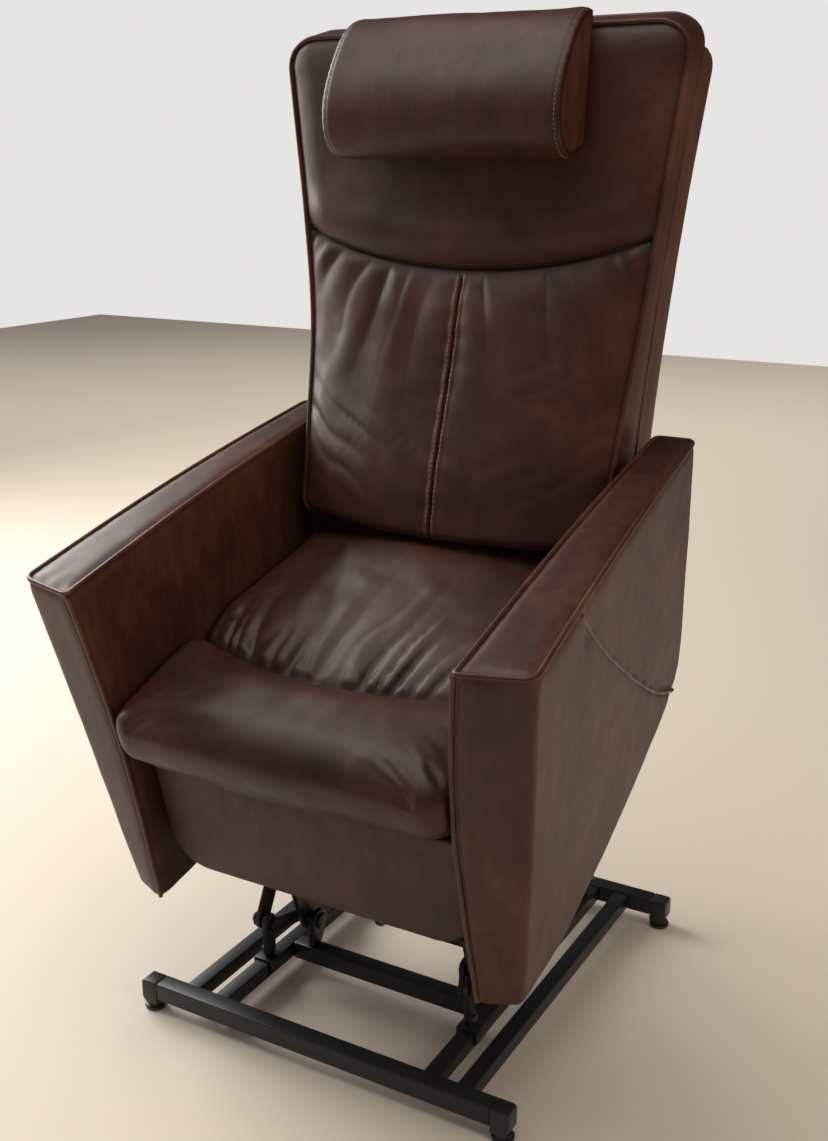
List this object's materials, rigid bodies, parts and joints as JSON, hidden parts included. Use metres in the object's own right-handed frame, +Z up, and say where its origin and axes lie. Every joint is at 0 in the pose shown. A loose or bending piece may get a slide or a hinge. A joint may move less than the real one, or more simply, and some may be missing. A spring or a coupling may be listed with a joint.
{
  "type": "patient recliner chair",
  "caption": "Powered rise-and-recline patient chair with padded arms, back, legrest and sliding head pillow on a steel base with a four-bar lift linkage.",
  "frame": {"origin": "floor level below the middle of the whole chair in its raised rest pose", "axes": "+Z up, -Y the way the sitter faces, +X the sitter's left; X = 0 is the middle plane"},
  "size_m": [0.7428, 0.7402, 1.4309],
  "materials": {
    "leather": "dark brown semi-gloss leather",
    "steel": "satin black powder coat",
    "rubber": "satin",
    "wood": "raw plywood",
    "plastic": "fine texture",
    "zinc": "zinc plated"
  },
  "bodies": {
    "base": {"base_front_bar": "steel", "base_rear_bar": "steel", "base_middle_bar": "steel", "outer_side_rail_left": "steel", "outer_side_rail_right": "steel", "inner_side_rail_left": "steel", "inner_side_rail_right": "steel", "end_block_front_left": "steel", "end_block_front_right": "steel", "end_block_rear_left": "steel", "end_block_rear_right": "steel", "glide_front_left": "rubber", "glide_front_right": "rubber", "glide_rear_left": "rubber", "glide_rear_right": "rubber", "stand_post_left": "steel", "stand_post_right": "steel", "stand_brace_left": "steel", "stand_brace_right": "steel", "lift_arm_lug_left": "steel", "lift_arm_lug_right": "steel", "rear_stop_left": "steel", "rear_stop_right": "steel", "lift_actuator_clevis": "steel"},
    "lift_arms": {"lift_arm_left": "steel", "lift_arm_right": "steel", "lift_cross_tube": "steel"},
    "front_links": {"front_link_left": "steel", "front_link_right": "steel"},
    "seat_frame": {"mechanism_plate_left": "steel", "mechanism_plate_right": "steel", "front_cross_rail": "steel", "rear_cross_rail": "steel", "seat_base": "wood", "seat_cushion": "leather", "back_actuator_clevis": "steel", "arm_left": "leather", "arm_right": "leather", "back_hinge_bracket_left": "steel", "back_hinge_bracket_right": "steel", "legrest_bracket_left": "steel", "legrest_bracket_right": "steel"},
    "backrest": {"back_cushion": "leather", "back_shell": "leather", "back_crank": "steel", "back_hinge_plate_left": "steel", "back_hinge_plate_right": "steel"},
    "head_pillow": {"head_pillow": "leather", "head_pillow_blade": "zinc"},
    "legrest": {"legrest_panel": "leather", "legrest_board": "steel", "legrest_strap_left": "steel", "legrest_strap_right": "steel"},
    "lift_actuator_body": {"lift_actuator_body": "plastic"},
    "lift_actuator_rod": {"lift_actuator_rod": "zinc"},
    "back_actuator_body": {"back_actuator_body": "plastic"},
    "back_actuator_rod": {"back_actuator_rod": "zinc"}
  },
  "joints": [
    {"name": "lift_lower", "type": "hinge", "parent": "base", "child": "lift_arms", "pos_m": [0, -0.0359, 0.088], "axis": [-1, 0, 0], "range_deg": [0, 43.54]},
    {"name": "seat_level", "type": "hinge", "parent": "lift_arms", "child": "seat_frame", "pos_m": [0, 0.12292, 0.30691], "axis": [1, 0, 0], "range_deg": [0, 30.79]},
    {"name": "front_link_swing", "type": "hinge", "parent": "base", "child": "front_links", "pos_m": [0, -0.1089, 0.112], "axis": [-1, 0, 0], "range_deg": [0, 48.1]},
    {"name": "lift_actuator_swing", "type": "hinge", "parent": "base", "child": "lift_actuator_body", "pos_m": [0, 0.3341, 0.078], "axis": [-1, 0, 0], "range_deg": [0, 3.33]},
    {"name": "lift_actuator_stroke", "type": "slide", "parent": "lift_actuator_body", "child": "lift_actuator_rod", "axis": [0, 0.9634, -0.2679], "range_m": [0, 0.0792]},
    {"name": "back_recline", "type": "hinge", "parent": "seat_frame", "child": "backrest", "pos_m": [0, 0.22481, 0.56791], "axis": [-1, 0, 0], "range_deg": [0, 42]},
    {"name": "back_actuator_swing", "type": "hinge", "parent": "seat_frame", "child": "back_actuator_body", "pos_m": [0, -0.13477, 0.3736], "axis": [-1, 0, 0], "range_deg": [0, 0.537]},
    {"name": "back_actuator_stroke", "type": "slide", "parent": "back_actuator_body", "child": "back_actuator_rod", "axis": [0, -0.956, -0.2932], "range_m": [0, 0.06325]},
    {"name": "legrest_raise", "type": "hinge", "parent": "seat_frame", "child": "legrest", "pos_m": [0, -0.27748, 0.44115], "axis": [-1, 0, 0], "range_deg": [0, 85]},
    {"name": "head_pillow_slide", "type": "slide", "parent": "backrest", "child": "head_pillow", "axis": [0, 0.0523, 0.9986], "range_m": [0, 0.07]}
  ],
  "couplings": [
    {"joint": "seat_level", "follows": "lift_lower", "ratio": 0.70484},
    {"joint": "front_link_swing", "follows": "lift_lower", "ratio": 1.1024},
    {"joint": "lift_actuator_swing", "follows": "lift_lower", "ratio": 0.074258},
    {"joint": "lift_actuator_stroke", "follows": "lift_lower", "m_per_rad": 0.10356},
    {"joint": "back_actuator_swing", "follows": "back_recline", "ratio": 0.010413},
    {"joint": "back_actuator_stroke", "follows": "back_recline", "m_per_rad": 0.085606}
  ]
}
